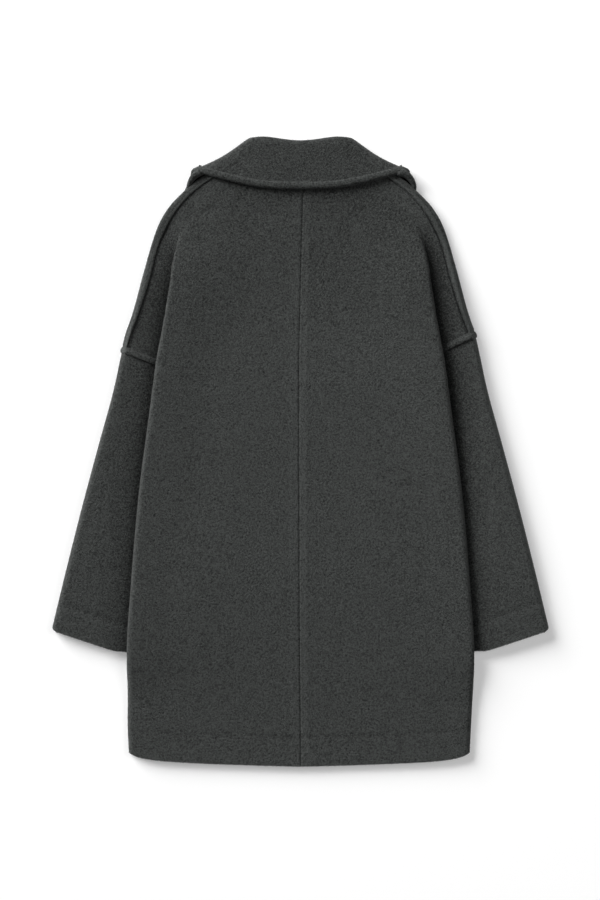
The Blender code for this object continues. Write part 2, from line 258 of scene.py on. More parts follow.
# Loose fibres and thread: fibres for each square millimetre or millimetre of edge, sizes, tones and seeds
FIBRE_DENSITY = 0.2
FIBRE_LENGTHS = (1.6, 4.4)
FIBRE_WIDTH = 0.15
EDGE_DENSITY = 14.0
EDGE_LENGTHS = (0.7, 1.9)
STITCH_LENGTH = 3.2
STITCH_GAP = 1.2
STITCH_WIDTH = 0.6
STITCH_HEIGHT = 0.35
STITCH_DEPTH = 0.4
FIBRE_LIFTS = (0.10, 0.55)
FIBRE_BEND = 0.55
FIBRE_TONE = 0.6
STITCH_TONE = -0.8
SEEDS = {"back": 11, "front": 31, "sleeve": 51, "collar": 71}

# Soft creases: start, end, height, half-width
BODY_CREASES = (
    ((-150, 335), (-112, 362), -0.8, 11),
    ((168, 322), (112, 338), -0.9, 13),
    ((-95, 372), (-60, 300), -0.8, 15),
    ((98, 372), (66, 300), -0.8, 15),
    ((-120, -60), (-170, -330), 0.7, 30),
    ((110, 20), (165, -280), 0.7, 32),
)
SLEEVE_CREASES = {
    "left": (((-255, 120), (-290, -60), 0.7, 10), ((-270, -40), (-250, -150), -0.8, 12)),
    "right": (((255, 140), (285, -40), 0.7, 10), ((275, -20), (262, -140), -0.8, 12)),
}
COLLAR_CREASES = (
    ((-60, 440), (-105, 400), -0.9, 12),
    ((62, 441), (106, 401), -0.9, 12),
    ((-20, 436), (-28, 392), 0.7, 14),
)

# Painted light and shade that differ from side to side: at the sleeve's edge painted shade on the left and a
# painted highlight on the right, a painted highlight on the body's crest, painted shade at the strip's edge,
# the fold's edge and the shoulder
SLEEVE_EDGE_PAINTED_LIGHT = {"left": -1.0, "right": 1.7}
CREST_PAINTED_HIGHLIGHT = {"left": 0.3, "right": 1.0}
STRIP_EDGE_PAINTED_SHADE = {"left": -1.6, "right": 0.0}
FOLD_EDGE_PAINTED_SHADE = {"left": -1.3, "right": 0.0}
SHOULDER_PAINTED_SHADE = {"left": -0.3, "right": -0.45}

# Tones that are alike on both sides: lighter nap on the pressed seam allowances; all the rest are painted:
# painted shade along the centre seam, hem line, upper fold, shoulder seam and cuff line, painted shadow
# under the collar and at its ends, painted shade over the collar and on its edge's sides and rounded ends,
# painted highlights on the cuff ridge and on the crowns of the collar's edge and the shoulder strip, painted
# shade on the strip's sides
SEAM_PRESS_TONE = 0.45
CENTRE_GROOVE_PAINTED_SHADE = -1.5
HEM_LINE_PAINTED_SHADE = -0.4
UNDER_COLLAR_PAINTED_SHADOW = -0.5
UPPER_FOLD_PAINTED_SHADE = -0.9
STRIP_SEAM_PAINTED_SHADE = -2.4
CUFF_RIDGE_PAINTED_HIGHLIGHT = 0.45
CUFF_LINE_PAINTED_SHADE = -0.4
COLLAR_PAINTED_SHADE = -0.4
COLLAR_END_PAINTED_SHADOW = -1.4
BAND_CROWN_PAINTED_HIGHLIGHT = 0.3
BAND_SIDE_PAINTED_SHADE = -0.35
TIP_PAINTED_SHADE = -0.5
STRIP_CROWN_PAINTED_HIGHLIGHT = 0.7
STRIP_SIDE_PAINTED_SHADE = -3.0

# Reach of those tones: distance from the centre seam, half-widths, run of the painted shadow under the
# collar
SEAM_PRESS_AWAY, SEAM_PRESS_WIDTH = 7.0, 5.0
CENTRE_GROOVE_SHADE_WIDTH = 1.0
CREST_WIDTH = 0.4
FOLD_WIDTH = 0.35
UPPER_FOLD_WIDTH = 0.6
COLLAR_SHADE_RUN = 50.0
CUFF_RIDGE_HIGHLIGHT_WIDTH = 4.5
CUFF_LINE_SHADE_WIDTH = 4.0
SLEEVE_EDGE_WIDTH = 6.0

# Painted shade beside the shoulder strip, along the shoulder seam: half-width, how much wider at its low
# end, heights of that end
STRIP_SEAM_SHADE_WIDTH = 1.6
STRIP_SEAM_SHADE_MORE = 1.4
STRIP_SEAM_SHADE_LOW = (225, 180)

# Heights over which the painted shade of shoulder and upper fold starts, is full and ends, and where the
# crest's painted highlight and the fold edge's painted shade end
SHOULDER_SPAN = (130, 260, 340, 400)
UPPER_FOLD_SPAN = (200, 260, 310, 350)
CREST_HIGHLIGHT_END = (230, 150)
FOLD_EDGE_END = (330, 250)

# Painted shade beside the body's fold: depth, more at the shoulder, more on the right, run, heights of each
FOLD_SHADE_DEPTH = 0.9
FOLD_SHADE_SHOULDER = 0.7
FOLD_SHADE_RIGHT = 0.9
FOLD_SHADE_RUN = 30.0
FOLD_SHADE_SHOULDER_START = (150, 250)
FOLD_SHADE_RIGHT_START = (-60, 60)
FOLD_SHADE_END = (335, 290)

# Studio lights: name, place in metres, width, height, power
LIGHTS = (
    ("key", (-10.2, 9.3, 5.7), 10.8, 7.8, 5000),
    ("fill", (3.5, 0.5, 3.6), 2.5, 2.5, 60),
)
WORLD_STRENGTH = 0.07
FLOOR_SIZE = 8.0
FLOOR_DROP = 0.0004
FLOOR_TONE = (0.75, 0.75, 0.75, 1)
FLOOR_GLOW = 0.3

# Grooves and ridges in the cloth: depth or height, half-width, and a ridge's distance from its line
CENTRE_GROOVE, CENTRE_GROOVE_WIDTH = 1.0, 1.4
CENTRE_RIDGE, CENTRE_RIDGE_WIDTH, CENTRE_RIDGE_AWAY = 0.3, 2.2, 10.6
HEM_GROOVE, HEM_GROOVE_WIDTH = 0.4, 3.0
CUFF_GROOVE, CUFF_GROOVE_WIDTH = 0.5, 2.6
CUFF_RIDGE, CUFF_RIDGE_WIDTH, CUFF_RIDGE_AWAY = 0.35, 4.0, 9.0

# Places along the back's control curve: upper side's end, crest, fold, far side, start of the spread
TOP_END = (6.3, 4.8)
CREST_PLACE = 5.2
FOLD_PLACE = 5.65
HEM_EDGE_END = 6.2
UPPER_FOLD_PLACE = 5.4
FOLD_FAR_SIDE = (5.6, 8.5)
SPREAD_PLACES = (2.0, 4.6)

# Place along the shoulder's control curve where rows near its outer edge are read
EDGE_STATION = 4.4

# Fineness of the grids: row steps, columns, and columns' distances from the centre seam
BACK_STEP = 4.0
FRONT_STEP = 8.0
BACK_COLUMNS = 70
FRONT_COLUMNS = 48
SHOULDER_COLUMNS = 44
WRAP_SEEN, WRAP_COLUMNS = 0.36, 28
STRIP_ROWS = 114
BAND_COLUMNS = 72
SLEEVE_ROWS = 112
SLEEVE_COLUMNS = 36
TURN_COLUMNS = 13
NEAR_SEAM = (0, 0.5, 1.0, 1.6, 2.3, 3.2, 4.4, 6.0, 7.8, 9.4, 10.8, 12.2, 14.0, 16.5)

# Lower edge of the collar, which shades the back: height at the middle, its rise at a distance to the side
COLLAR_EDGE = 378.0
COLLAR_EDGE_RISE = 24.0
COLLAR_EDGE_SIDE = 150.0

# Photograph's field at the coat, in metres, and the camera's distance
FIELD_HEIGHT = 1.305
CAMERA_DISTANCE = 4.0
CAMERA_PLACE = (-0.0007, 0.0022, 4.01)
SENSOR = 36.0


def smooth_through(rows, column):
    """Return a smooth function of the first column, with no overshoot between the rows."""
    at = np.array([row[0] for row in rows], float)
    value = np.array([row[column] for row in rows], float)
    step = np.diff(at)
    rise = np.diff(value) / step
    slope = np.zeros(len(at))
    slope[0], slope[-1] = rise[0], rise[-1]
    for i in range(1, len(at) - 1):
        if rise[i - 1] * rise[i] > 0:
            slope[i] = 2 * rise[i - 1] * rise[i] / (rise[i - 1] + rise[i])

    def read(y):
        y = min(max(y, at[0]), at[-1])
        i = min(int(np.searchsorted(at, y, side="right")) - 1, len(step) - 1)
        t = (y - at[i]) / step[i]
        a = value[i] * (1 + 2 * t) * (1 - t) ** 2 + slope[i] * step[i] * t * (1 - t) ** 2
        b = value[i + 1] * t * t * (3 - 2 * t) + slope[i + 1] * step[i] * t * t * (t - 1)
        return a + b

    return read


def ease(start, end, y):
    """Go smoothly from 0 at start to 1 at end."""
    t = np.clip((y - start) / (end - start), 0.0, 1.0)
    return t * t * (3 - 2 * t)


def within(span, y):
    """Go from 0 to 1 over a span's first two heights, and back to 0 over its last two."""
    start, full, fading, end = span
    return ease(start, full, y) * ease(end, fading, y)


def bell(away, width):
    """A soft rise that is 1 where away is 0."""
    return np.exp(-(away / width) ** 2)


def travelled(line):
    """Distance from the start of a line of points to each of them."""
    return np.concatenate([[0], np.cumsum(np.linalg.norm(np.diff(line, axis=0), axis=1))])


def spline(points, u):
    """Read a cubic B-spline, which starts and ends on its first and last points, at every u."""
    points = np.asarray(points, float)
    net = np.concatenate([[2 * points[0] - points[1]], points, [2 * points[-1] - points[-2]]])
    u = np.atleast_1d(np.asarray(u, float))
    i = np.minimum(u.astype(int), len(points) - 2)
    t = (u - i)[:, None]
    parts = ((1 - t) ** 3, 3 * t ** 3 - 6 * t * t + 4, -3 * t ** 3 + 3 * t * t + 3 * t + 1, t ** 3)
    return sum(part * net[i + k] for k, part in enumerate(parts)) / 6


centre_x = smooth_through(CENTRE_SEAM, 1)
crest_x = smooth_through(BODY_FOLD, 1)
crest_z = smooth_through(BODY_FOLD, 2)
under_z = smooth_through(BODY_FOLD, 3)
fold_depth = smooth_through(BODY_FOLD, 4)
middle_z = smooth_through(BACK_MIDDLE, 1)
seam_x = smooth_through(SHOULDER_SEAM, 1)
edge_x = smooth_through(OUTER_EDGE, 1)
neck_x = smooth_through(FRONT_NECK, 1)


def floor_z(y):
    """Height of the front's middle, which rises over the collar's front ends."""
    return HALF + FRONT_LIFT * ease(LIFT_FROM, LIFT_TO, y)


def below_underarm(side, y):
    """How far the side seam has risen and moved out, from 0 at the underarm to 1."""
    underarm = ARMHOLES[side][2]
    risen = ease(underarm, underarm - SEAM_RISE_RUN, y)
    return risen, ease(underarm - SEAM_MOVE_FROM, underarm - SEAM_MOVE_TO, y)


def pinch(side, y):
    """How near a row above the underarm is to it, from 0 to 1 at the underarm."""
    underarm = ARMHOLES[side][2]
    return ease(underarm + PINCH_RUN, underarm, y)


def side_seam(side, y):
    """Place of the back panel's lower edge inside the side fold."""
    risen, moved = below_underarm(side, y)
    turn_z = 0.5 * (under_z(y) + floor_z(y) + FOLD)
    z = turn_z + (under_z(y) - turn_z) * risen
    inset = fold_depth(y) + (SEAM_INSET - fold_depth(y)) * moved
    return crest_x(y) - inset, z


def fold_slack(y):
    """How far the fold has opened into a slope: its reach and how much of the drop it spreads."""
    opened = min(max(-fold_depth(y), 0.0) / SLACK_DEPTH, 1.0)
    return SLACK_REACH * opened, SLACK_DROP * opened


def back_curve(side, y):
    """Control points across the back, from the centre seam round the side fold to the side seam."""
    sign = ARMHOLES[side][0]
    moved = below_underarm(side, y)[1]
    crest, top, under = crest_x(y), crest_z(y), under_z(y)
    low = middle_z(y)
    seam, seam_z = side_seam(side, y)
    depth = fold_depth(y)
    first = sign * centre_x(y) + SEAM_GAP / 2
    slack, slope_z = fold_slack(y)
    upright = 0.4 * ease(10, 0, depth)
    drop = max(slope_z, upright) * (seam_z - under)
    upper_turn = (crest - depth / 2, under), (crest - depth - slack, under + drop)
    lower_turn = (crest - 6.6, under), (crest - 9.0, under)
    turn = [np.array(a) + (np.array(b) - np.array(a)) * moved for a, b in zip(upper_turn, lower_turn)]
    lead = min(1.1 * max(top - under, 3.0), 8.0)
    return np.array([
        (first, low),
        (0.3 * crest, low),
        (max(crest - 85, 0.5 * crest), low + 0.25 * (top - low)),
        (max(crest - 36, 0.75 * crest), low + 0.85 * (top - low)),
        (crest - lead, top),
        (crest, top),
        (crest, under + upright * (top - under)),
        turn[0],
        turn[1],
        (seam, seam_z),
    ])


def front_start(side, y):
    """Place of the front panel's side edge, or of its column under the inner turn."""
    risen, moved = below_underarm(side, y)
    x, z = side_seam(side, y)
    flat = floor_z(y) + UNDERARM_RISE * pinch(side, y)
    below = z - (CLOTH + 0.5) * (1 - moved)
    return x - SEAM_GAP, flat + (below - flat) * risen


def shoulder_curve(side, y):
    """Control points from the inner turn out over the shoulder edge and back under it."""
    x, z = side_seam(side, y)
    low = floor_z(y)
    top = low + FOLD
    edge = edge_x(y) - HALF
    inner, inner_z = front_start(side, y)
    slack, slope_z = fold_slack(y)
    lead = 1.1 * FOLD
    return np.array([
        (x, z),
        (x + slack, top + slope_z * (z - top)),
        (x + 6.0 + slack, top),
        (0.5 * (x + 6.0 + slack + edge - lead), top),
        (edge - lead, top),
        (edge, top),
        (edge, low),
        (edge - lead, low),
        (0.5 * (inner + edge - lead), low),
        (inner + 0.3 * (edge - lead - inner), low),
        (inner, inner_z),
    ])


def front_curve(side, y):
    """Control points across the front, from its side edge in to its centre edge."""
    risen = below_underarm(side, y)[0]
    start, start_z = front_start(side, y)
    low = floor_z(y)
    end = neck_x(y)
    sleeve = crest_x(y) - SLEEVE_INSET
    low_way = [(start + (end - start) * share, low) for share in (0.06, 0.12, 0.18, 0.25)]
    half_up = 0.5 * (start_z + low)
    high_way = [(start - 3.5, start_z), (sleeve - 4.0, start_z)]
    high_way += [(sleeve - 6.0, half_up), (sleeve - 12.0, low)]
    way = [np.array(a) + (np.array(b) - np.array(a)) * risen for a, b in zip(low_way, high_way)]
    rise = FRONT_LIFT * ease(*LAP_END, y) if side == "left" else 0.0
    lap = [(0.36, 0), (0.5, 0), (0.54, rise), (0.59, rise), (0.8, rise), (1.0, rise)]
    rest = [(start + (end - start) * share, low + lift) for share, lift in lap]
    return np.array([(start, start_z)] + way + rest)


def hem_rise(x, y):
    """Lift of the hem's corners, fading out up the coat."""
    t = np.abs(x) / HEM_HALF_WIDTH
    corner = 0.5 * HEM_SIDE_RISE * (t ** 1.3 + np.minimum(t, 1.0) ** 10)
    rounded = CORNER * np.minimum(t, 1.0) ** 60 * ease(HEM_CENTRE + 30, HEM_CENTRE, y)
    return corner * ease(HEM_CENTRE + HEM_RISE_FADE, HEM_CENTRE, y) + rounded


def armhole_height(side, y, u):
    """Height of a shoulder point, so that the lowest row follows the slanted armhole."""
    tip, underarm = ARMHOLES[side][1], ARMHOLES[side][2]
    share = ease(underarm + ARMHOLE_RUN, underarm, y)
    level = y
    if share == 0:
        return y
    for _ in range(4):
        inner = side_seam(side, level)[0]
        x = spline(shoulder_curve(side, level), u)[0, 0]
        level = y + (tip - underarm) * share * max(x - inner, 0) / (edge_x(level) - HALF - inner)
    return level


def shoulder_station(side, y):
    """Where along the shoulder curve the shoulder seam lies."""
    stations = np.linspace(2.0, 5.4, 400)
    return np.interp(seam_x(y), spline(shoulder_curve(side, y), stations)[:, 0], stations)


def row_heights(side, step):
    """Row heights below and above the underarm, which share the underarm row."""
    underarm = ARMHOLES[side][2]
    lower = np.linspace(HEM_CENTRE, underarm, int((underarm - HEM_CENTRE) / step) + 1)
    upper = np.linspace(underarm, BACK_NECK, int((BACK_NECK - underarm) / step) + 1)
    return list(lower), list(upper)


def panel_row(curve, side, y, near, count):
    """Points along one row at even steps, closer ones near its start, and their places on the curve."""
    sign = ARMHOLES[side][0]
    control = curve(side, y)
    places = np.linspace(0, len(control) - 1, 300)
    dense = spline(control, places)
    travel = travelled(dense)
    wanted = np.concatenate([near, np.linspace(near[-1], travel[-1], count + 1)[1:]])
    x = np.interp(wanted, travel, dense[:, 0])
    z = np.interp(wanted, travel, dense[:, 1])
    return np.stack([sign * x, y + hem_rise(x, y), z], axis=1), np.interp(wanted, travel, places)


def shoulder_row(side, y, shares, part):
    """Points of one shoulder row, for the back up to the seam or for the front after it."""
    sign = ARMHOLES[side][0]
    seam = shoulder_station(side, armhole_height(side, y, EDGE_STATION))
    gap = 0.02
    points = []
    for share in shares:
        u = share * (seam - gap) if part == "back" else seam + gap + share * (10.0 - seam - gap)
        level = armhole_height(side, y, u)
        x, z = spline(shoulder_curve(side, level), u)[0]
        points.append((sign * x, level, z))
    return np.array(points)


def lifted_point(side, y, u, lift):
    """A point off the shoulder curve, moved out from its outer face."""
    sign = ARMHOLES[side][0]
    level = armhole_height(side, y, u)
    here, behind, ahead = spline(shoulder_curve(side, level), [u, u - 0.01, u + 0.01])
    way = (ahead - behind) / np.linalg.norm(ahead - behind)
    return (sign * (here[0] - way[1] * lift), level, here[1] + way[0] * lift)


def sleeve_ring(side, share, spacing):
    """One ring of the flattened sleeve, from the armhole at 0 to the cuff at 1."""
    sign, tip, underarm = ARMHOLES[side]
    outer_y = tip + (CUFF_OUTER - tip) * share - ARMHOLE_GAP * (1 - share)
    inner_y = underarm + (CUFF_INNER - underarm) * share - ARMHOLE_GAP * (1 - share)
    outer_x = edge_x(outer_y) - HALF
    inner_x = crest_x(inner_y) - SLEEVE_INSET + HALF
    width = outer_x - inner_x
    radius = FOLD / 2
    turn = np.radians(np.linspace(90, -90, TURN_COLUMNS))
    flat = np.linspace(0, 1, spacing + 2)[1:-1]
    reach = radius / width
    outer = np.stack([1 - reach * (1 - np.cos(turn)), HALF + radius * (1 + np.sin(turn))], axis=1)
    below = np.stack([1 - reach - (1 - 2 * reach) * flat, np.full(spacing, HALF)], axis=1)
    inner = np.stack([reach * (1 - np.cos(-turn)), HALF + radius * (1 + np.sin(-turn))], axis=1)
    above = np.stack([reach + (1 - 2 * reach) * flat, np.full(spacing, HALF + FOLD)], axis=1)
    ring = np.concatenate([outer, below, inner, above, outer[:1]])
    x = inner_x + width * ring[:, 0]
    y = inner_y + (outer_y - inner_y) * ring[:, 0]
    return np.stack([sign * x, y, ring[:, 1]], axis=1)


def collar_net():
    """Control net of the collar, from its left end under the front to its right end."""
    way = np.array(COLLAR_UNDER_WAY)
    net = []
    for k, (centre, turn_x, turn_y, z) in enumerate(COLLAR_ROWS):
        on_roll = 1.0 if k in (3, 4) else 0.4 if k in (2, 5) else 0.0
        turn = np.array((turn_x, turn_y)) - HALF * way
        drop = 0.5 * (z - HALF)
        outward = turn + (1.6 * drop if k > 3 else 0) * np.array((0.25, 0.10))
        half = [
            (0.0, centre, z),
            (0.36 * turn_x, centre + COLLAR_BUMP * 0.5 * on_roll, z),
            (0.72 * turn_x, centre + 0.55 * (turn_y - centre) + COLLAR_BUMP * on_roll, z),
            (outward[0], outward[1], z),
            (outward[0], outward[1], HALF),
            tuple(turn + way * 16) + (HALF,),
            tuple(turn + way * COLLAR_UNDER) + (HALF,),
        ]
        mirrored = [(-x, y, z) for x, y, z in half[:0:-1]]
        net.append(mirrored + half)
    return np.array(net)


def collar_rows(us, vs):
    """Collar points, with us along its length and vs from neck seam to outer edge."""
    along = np.stack([spline(row, us) for row in collar_net()])
    points = spline(along.reshape(len(along), -1), vs).reshape(len(vs), len(us), 3)
    tilt = np.minimum(np.asarray(vs) / ROLL_ROW, 1.35 - 0.35 * np.asarray(vs) / ROLL_ROW)
    upper = ease(5, 12, points[:, :, 2] + 4 * (np.asarray(vs) < ROLL_ROW)[:, None])
    from_end = np.minimum(us, COLLAR_LENGTH - np.asarray(us))
    points[:, :, 2] += COLLAR_RISE * tilt[:, None] * upper * (0.15 + 0.85 * ease(2.4, 4.4, from_end))
    return points


def tip_band(start, path):
    """Rounded end of the collar's edge band, from the band's last row on along a path."""
    width = np.linalg.norm(start[-1] - start[0])
    first = np.concatenate([start.mean(axis=0), [width]])
    control = np.concatenate([[first], np.array(path)])
    line = spline(control, np.linspace(0, len(control) - 1, TIP_COLUMNS))
    way = unit(np.gradient(line[:, :2], axis=0))
    aside = np.stack([-way[:, 1], way[:, 0], np.zeros(TIP_COLUMNS)], axis=1)
    rows = []
    for share in np.linspace(-1, 1, TIP_ROWS):
        lift = np.array([0, 0, HALF + BAND_SWELL - TIP_DROP * abs(share) ** 3])
        rows.append(line[:, :3] + aside * 0.5 * share * line[:, 3:] + lift)
    feet = [row * np.array([1, 1, 0]) + np.array([0, 0, TIP_FOOT]) for row in (rows[0], rows[-1])]
    return np.array([feet[0]] + rows + [feet[1]])


def grid_normals(grid):
    """Unit normals of a grid of points, turned to face up."""
    along = np.gradient(grid, axis=1)
    across = np.gradient(grid, axis=0)
    normal = np.cross(along, across)
    normal /= np.linalg.norm(normal, axis=2, keepdims=True) + 1e-12
    return normal if normal[:, :, 2].mean() > 0 else -normal


def mesh_piece(name, grids, material, thickness=0.0, tone_and_painted_light=None):
    """Join grids of points into one smooth mesh, with a wall and a per-point tone where given; that tone
    holds painted light and shade as well as the nap's own lightness.
    """
    points, faces, pale = [], [], []
    for k, grid in enumerate(grids):
        given = None if tone_and_painted_light is None else tone_and_painted_light[k]
        pale.extend(np.zeros(np.asarray(grid).size // 3) if given is None else np.asarray(given).ravel())
        rows, columns = len(grid), len(grid[0])
        first = len(points)
        points.extend(np.asarray(grid).reshape(-1, 3) * MM)
        at = first + np.arange(rows * columns).reshape(rows, columns)
        quads = np.stack([at[:-1, :-1], at[:-1, 1:], at[1:, 1:], at[1:, :-1]], axis=-1)
        faces.extend(quads.reshape(-1, 4).tolist())
    mesh = bpy.data.meshes.new(name)
    mesh.from_pydata([tuple(point) for point in points], [], faces)
    mesh.attributes.new("tone_and_painted_light", "FLOAT", "POINT").data.foreach_set("value", np.array(pale, np.float32))
    work = bmesh.new()
    work.from_mesh(mesh)
    bmesh.ops.remove_doubles(work, verts=work.verts, dist=0.00002)
    bmesh.ops.recalc_face_normals(work, faces=work.faces)
    work.to_mesh(mesh)
    work.free()
    mesh.shade_smooth()
    mesh.materials.append(material)
    piece = bpy.data.objects.new(name, mesh)
    bpy.context.scene.collection.objects.link(piece)
    if thickness:
        wall = piece.modifiers.new("Cloth thickness", "SOLIDIFY")
        wall.thickness = thickness * MM
        wall.offset = 0.0
        wall.use_even_offset = False
    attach(piece, "root")
    return piece


def wool(name):
    """Boiled wool: mottled nap at several sizes, a per-point tone with lighter nap on pressed seams and
    painted highlights and painted shade elsewhere, a soft sheen.
    """
    material = bpy.data.materials.new(name)
    material.use_nodes = True
    nodes, links = material.node_tree.nodes, material.node_tree.links
    shader = nodes["Principled BSDF"]
    shader.inputs["Roughness"].default_value = 0.95
    shader.inputs["Specular IOR Level"].default_value = 0.12
    shader.inputs["Sheen Weight"].default_value = 0.10
    shader.inputs["Sheen Roughness"].default_value = 0.55
    place = nodes.new("ShaderNodeTexCoord")

    def noise(scale, detail, distortion):
        node = nodes.new("ShaderNodeTexNoise")
        node.inputs["Scale"].default_value = scale
        node.inputs["Detail"].default_value = detail
        node.inputs["Roughness"].default_value = 0.6
        node.inputs["Distortion"].default_value = distortion
        links.new(place.outputs["Object"], node.inputs["Vector"])
        return node.outputs["Fac"]

    def add(value, factor, base):
        node = nodes.new("ShaderNodeMath")
        node.operation = "MULTIPLY_ADD"
        node.inputs[1].default_value = factor
        links.new(value, node.inputs[0])
        links.new(base, node.inputs[2])
        return node.outputs[0]

    grain = noise(NAP_GRAIN, 2.0, 0.6)
    clouds = noise(NAP_CLOUD, 2.0, 0.0)
    fuzz = noise(NAP_FUZZ, 1.0, 0.8)
    # Per-point tone: painted highlights and painted shade, besides the lighter nap of pressed seams
    pale = nodes.new("ShaderNodeAttribute")
    pale.attribute_name = "tone_and_painted_light"
    tone = add(clouds, CLOUD_SHARE, grain)
    tone = add(fuzz, FUZZ_SHARE, tone)
    tone = add(pale.outputs["Fac"], TONE_AND_PAINTED_LIGHT_SHARE, tone)
    ramp = nodes.new("ShaderNodeValToRGB")
    ramp.color_ramp.elements[0].position = NAP_RANGE[0]
    ramp.color_ramp.elements[0].color = NAP_DARK
    ramp.color_ramp.elements[1].position = NAP_RANGE[1]
    ramp.color_ramp.elements[1].color = NAP_LIGHT
    links.new(tone, ramp.inputs["Fac"])
    links.new(ramp.outputs["Color"], shader.inputs["Base Color"])
    bump = nodes.new("ShaderNodeBump")
    bump.inputs["Strength"].default_value = RELIEF_STRENGTH
    bump.inputs["Distance"].default_value = RELIEF_DEPTH
    links.new(add(fuzz, RELIEF_FUZZ, grain), bump.inputs["Height"])
    links.new(bump.outputs["Normal"], shader.inputs["Normal"])
    return material


cloth = wool("boiled_wool_cloth")


def panel_rows(curve, side, rows, near, count):
    """Grid of a panel's points with their places along its control curve."""
    grid, stations = [], []
    for y in rows:
        points, places = panel_row(curve, side, y, near, count)
        grid.append(points)
        stations.append(places)
    return np.array(grid), np.array(stations)


def by_height(read, y):
    """Read a table's smooth function at every height of an array."""
    heights = np.linspace(HEM_CENTRE - 5, 460, 400)
    return np.interp(y, heights, [read(height) for height in heights])


def swollen(points):
    """Puff the upper layer of sleeves and shoulders, which dips where the body's fold lies on it."""
    points = np.array(points, float)
    x, y, z = np.abs(points[..., 0]), points[..., 1], points[..., 2]
    inner_edge = by_height(crest_x, y) + np.maximum(-by_height(fold_depth, y), -2.0)
    inside = np.maximum(x - inner_edge, 0)
    outside = by_height(edge_x, y) - x
    size = PUFF_CUFF + (PUFF - PUFF_CUFF) * ease(*PUFF_GROWTH, y)
    size = size * ease(*PUFF_FADE, y)
    run = PUFF_RUN + (PUFF_RUN_SHOULDER - PUFF_RUN) * ease(*PUFF_RUN_CHANGE, y)
    rise = size * (1 - np.exp(-inside / run)) * ease(-1, PUFF_EDGE, outside)
    rise -= PUFF_DIP * np.exp(-inside / DIP_RUN) * ease(*DIP_FADE, y)
    points[..., 2] = z + rise * ease(*UPPER_LAYER, z)
    return points


def painted_fold_shade(points):
    """Painted shade on the cloth that lies close against the body's fold, deeper at the shoulder and on the
    right.
    """
    x, y = points[..., 0], points[..., 1]
    inside = np.abs(x) - by_height(crest_x, y)
    depth = FOLD_SHADE_DEPTH + FOLD_SHADE_SHOULDER * ease(*FOLD_SHADE_SHOULDER_START, y)
    depth = depth + FOLD_SHADE_RIGHT * (x > 0) * ease(*FOLD_SHADE_RIGHT_START, y)
    return -depth * bell(inside, FOLD_SHADE_RUN) * ease(*FOLD_SHADE_END, y)


def troughs(points, lines):
    """Height of soft creases at every point: each from one end to the other, with depth and width."""
    total = np.zeros(points.shape[:-1])
    flat = points[..., :2]
    for start, end, depth, width in lines:
        start, end = np.array(start, float), np.array(end, float)
        way = end - start
        share = np.clip(((flat - start) @ way) / (way @ way), 0, 1)
        off = np.linalg.norm(flat - (start + share[..., None] * way), axis=-1)
        fade = ease(0, 0.3, share) * ease(1, 0.7, share)
        total += depth * fade * bell(off, width)
    return total


def outer(grid):
    """Outer face of a cloth wall on a grid of middle points."""
    return grid + grid_normals(grid) * HALF


def joined(name, points, faces, tone_and_painted_light):
    """One plain mesh of many small faces in the coat's wool."""
    mesh = bpy.data.meshes.new(name)
    mesh.from_pydata((points * MM).tolist(), [], faces)
    tone = mesh.attributes.new("tone_and_painted_light", "FLOAT", "POINT")
    tone.data.foreach_set("value", np.full(len(points), tone_and_painted_light, np.float32))
    mesh.materials.append(cloth)
    piece = bpy.data.objects.new(name, mesh)
    bpy.context.scene.collection.objects.link(piece)
    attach(piece, "root")
    return piece


def unit(ways):
    """Rows of vectors at length one."""
    return ways / (np.linalg.norm(ways, axis=-1, keepdims=True) + 1e-12)


def edge_fibres(edge, outward, chance):
    """Short fibres that stand out of a cut or folded edge, over the height of its cloth."""
    travel = travelled(edge)
    count = int(EDGE_DENSITY * travel[-1])
    at = chance.uniform(0, travel[-1], count)
    root = np.stack([np.interp(at, travel, edge[:, k]) for k in range(3)], axis=1)
    root[:, 2] -= chance.uniform(0, CLOTH, count)
    way = unit(outward + chance.normal(0, 0.55, (count, 3)))
    aside = unit(np.cross(way, chance.normal(size=(count, 3)))) * FIBRE_WIDTH / 2
    length = chance.uniform(*EDGE_LENGTHS, (count, 1))
    middle = root + way * FIBRE_BEND * length
    tip = root + (way + chance.normal(0, 0.25, (count, 3))) * length
    return np.stack([root - aside, root + aside, middle + aside, middle - aside, tip], axis=1)


